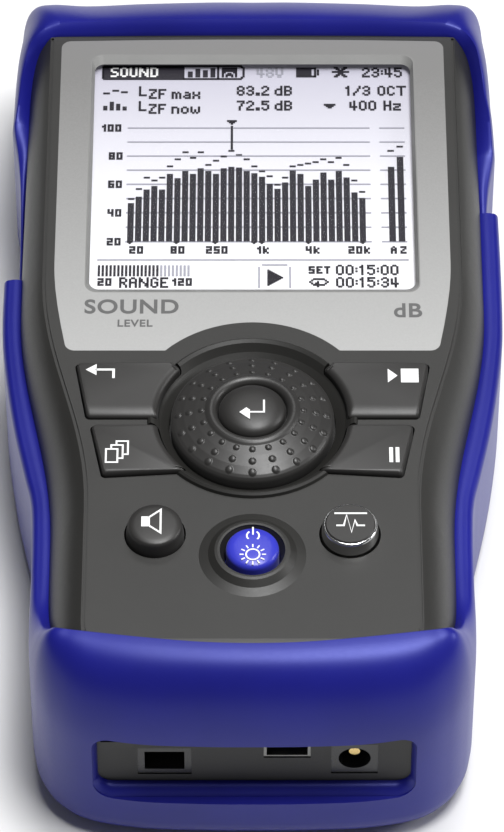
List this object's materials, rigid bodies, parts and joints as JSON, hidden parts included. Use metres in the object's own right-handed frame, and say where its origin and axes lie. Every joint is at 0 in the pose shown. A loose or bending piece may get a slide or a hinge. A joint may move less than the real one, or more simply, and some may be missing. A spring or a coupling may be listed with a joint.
{
  "type": "handheld sound level meter",
  "caption": "Handheld acoustic analyser with a square display, a ringed jog wheel, wedge and round keys, a soft two-piece jacket and sockets at both ends.",
  "frame": {"origin": "centre of the footprint on the surface the meter lies on, under the middle of its length", "axes": "+X to the right seen from the display side, +Y along the length towards the microphone input end, +Z out of the display"},
  "size_m": [0.0904, 0.1796, 0.0446],
  "materials": {
    "battery_contacts": "gold plated",
    "battery_door": "black, fine grain",
    "battery_pack": "dark blue film",
    "bezel_plate": "silver paint, satin",
    "board_connector": "black",
    "board_parts": "black moulded",
    "board_spacers": "turned",
    "clock_cell": "bright",
    "dc_socket": "black",
    "display_frame": "grey",
    "display_window": "clear, anti-glare",
    "encoder_body": "black",
    "encoder_rotor": "white",
    "enter_key": "black, satin",
    "escape_key": "black, satin",
    "front_housing": "black, fine grain",
    "headphone_jack": "black",
    "housing_screws": "zinc plated",
    "housing_seal": "black",
    "input_shield": "tin plated",
    "io_socket": "black",
    "jog_wheel": "black, satin",
    "keymat": "grey silicone",
    "keypad_board": "green lacquer",
    "kickstand": "black, fine grain",
    "lcd_backlight": "white",
    "lcd_flex": "amber film",
    "lcd_frame": "bent sheet",
    "lcd_panel": "white display with dark dots",
    "limit_key_cap": "black, satin",
    "limit_key_ring": "clear light guide",
    "limit_lamp": "lamp chip",
    "lower_boot": "blue, satin",
    "lower_end_panel": "black",
    "main_board": "green lacquer",
    "page_key": "black, satin",
    "pause_key": "black, satin",
    "power_key": "blue, satin",
    "rca_contact": "gold plated",
    "rca_insulator": "white",
    "rca_shell": "nickel plated",
    "rear_housing": "black, fine grain",
    "sd_card": "black",
    "sd_socket": "tin plated",
    "snap_domes": "stamped",
    "socket_pins": "gold plated",
    "speaker_basket": "black",
    "speaker_cone": "black film",
    "speaker_gasket": "black foam",
    "speaker_key": "black, satin",
    "stand_pins": "bright",
    "start_stop_key": "black, satin",
    "tripod_insert": "turned",
    "upper_bumper": "blue, satin",
    "upper_end_panel": "black",
    "usb_socket": "tin plated",
    "xlr_contacts": "gold plated",
    "xlr_insert": "black",
    "xlr_latch": "nickel plated",
    "xlr_shell": "nickel grey"
  },
  "bodies": {
    "meter": {"battery_contacts": "battery_contacts", "battery_pack": "battery_pack", "bezel_plate": "bezel_plate", "board_connector": "board_connector", "board_parts": "board_parts", "board_spacers": "board_spacers", "clock_cell": "clock_cell", "dc_socket": "dc_socket", "display_frame": "display_frame", "display_window": "display_window", "encoder_body": "encoder_body", "front_housing": "front_housing", "headphone_jack": "headphone_jack", "housing_screws": "housing_screws", "housing_seal": "housing_seal", "input_shield": "input_shield", "io_socket": "io_socket", "keymat": "keymat", "keypad_board": "keypad_board", "lcd_backlight": "lcd_backlight", "lcd_flex": "lcd_flex", "lcd_frame": "lcd_frame", "lcd_panel": "lcd_panel", "limit_lamp": "limit_lamp", "lower_boot": "lower_boot", "lower_end_panel": "lower_end_panel", "main_board": "main_board", "rca_contact": "rca_contact", "rca_insulator": "rca_insulator", "rca_shell": "rca_shell", "rear_housing": "rear_housing", "sd_socket": "sd_socket", "snap_domes": "snap_domes", "socket_pins": "socket_pins", "speaker_basket": "speaker_basket", "speaker_cone": "speaker_cone", "speaker_gasket": "speaker_gasket", "stand_pins": "stand_pins", "tripod_insert": "tripod_insert", "upper_bumper": "upper_bumper", "upper_end_panel": "upper_end_panel", "usb_socket": "usb_socket", "xlr_contacts": "xlr_contacts", "xlr_insert": "xlr_insert", "xlr_shell": "xlr_shell"},
    "wheel": {"jog_wheel": "jog_wheel", "encoder_rotor": "encoder_rotor"},
    "stand": {"kickstand": "kickstand"},
    "door": {"battery_door": "battery_door"},
    "card": {"sd_card": "sd_card"},
    "latch": {"xlr_latch": "xlr_latch"},
    "enter_button": {"enter_key": "enter_key"},
    "escape_button": {"escape_key": "escape_key"},
    "page_button": {"page_key": "page_key"},
    "start_stop_button": {"start_stop_key": "start_stop_key"},
    "pause_button": {"pause_key": "pause_key"},
    "speaker_button": {"speaker_key": "speaker_key"},
    "power_button": {"power_key": "power_key"},
    "limit_button": {"limit_key_cap": "limit_key_cap", "limit_key_ring": "limit_key_ring"}
  },
  "joints": [
    {"name": "wheel_spin", "type": "hinge", "parent": "meter", "child": "wheel", "pos_m": [0, -0.028, 0.038], "axis": [0, 0, 1], "continuous": true},
    {"name": "enter_press", "type": "slide", "parent": "meter", "child": "enter_button", "axis": [0, 0, -1], "range_m": [0, 0.0006], "stiffness_N_per_m": 2000, "deforming": ["keymat"]},
    {"name": "escape_press", "type": "slide", "parent": "meter", "child": "escape_button", "axis": [0, 0, -1], "range_m": [0, 0.0007], "stiffness_N_per_m": 2000, "deforming": ["keymat"]},
    {"name": "page_press", "type": "slide", "parent": "meter", "child": "page_button", "axis": [0, 0, -1], "range_m": [0, 0.0007], "stiffness_N_per_m": 2000, "deforming": ["keymat"]},
    {"name": "start_stop_press", "type": "slide", "parent": "meter", "child": "start_stop_button", "axis": [0, 0, -1], "range_m": [0, 0.0007], "stiffness_N_per_m": 2000, "deforming": ["keymat"]},
    {"name": "pause_press", "type": "slide", "parent": "meter", "child": "pause_button", "axis": [0, 0, -1], "range_m": [0, 0.0007], "stiffness_N_per_m": 2000, "deforming": ["keymat"]},
    {"name": "speaker_press", "type": "slide", "parent": "meter", "child": "speaker_button", "axis": [0, 0, -1], "range_m": [0, 0.0008], "stiffness_N_per_m": 2000, "deforming": ["keymat"]},
    {"name": "power_press", "type": "slide", "parent": "meter", "child": "power_button", "axis": [0, 0, -1], "range_m": [0, 0.0008], "stiffness_N_per_m": 2000, "deforming": ["keymat"]},
    {"name": "limit_press", "type": "slide", "parent": "meter", "child": "limit_button", "axis": [0, 0, -1], "range_m": [0, 0.0008], "stiffness_N_per_m": 2000, "deforming": ["keymat"]},
    {"name": "stand_hinge", "type": "hinge", "parent": "meter", "child": "stand", "pos_m": [0, 0.0276, 0.0028], "axis": [1, 0, 0], "range_deg": [0, 68]},
    {"name": "door_release", "type": "slide", "parent": "meter", "child": "door", "axis": [0, 0, -1], "range_m": [0, 0.012]},
    {"name": "card_slide", "type": "slide", "parent": "meter", "child": "card", "axis": [0, -1, 0], "range_m": [0, 0.012]},
    {"name": "latch_press", "type": "slide", "parent": "meter", "child": "latch", "axis": [0, 0, -1], "range_m": [0, 0.0006], "stiffness_N_per_m": 2500}
  ]
}
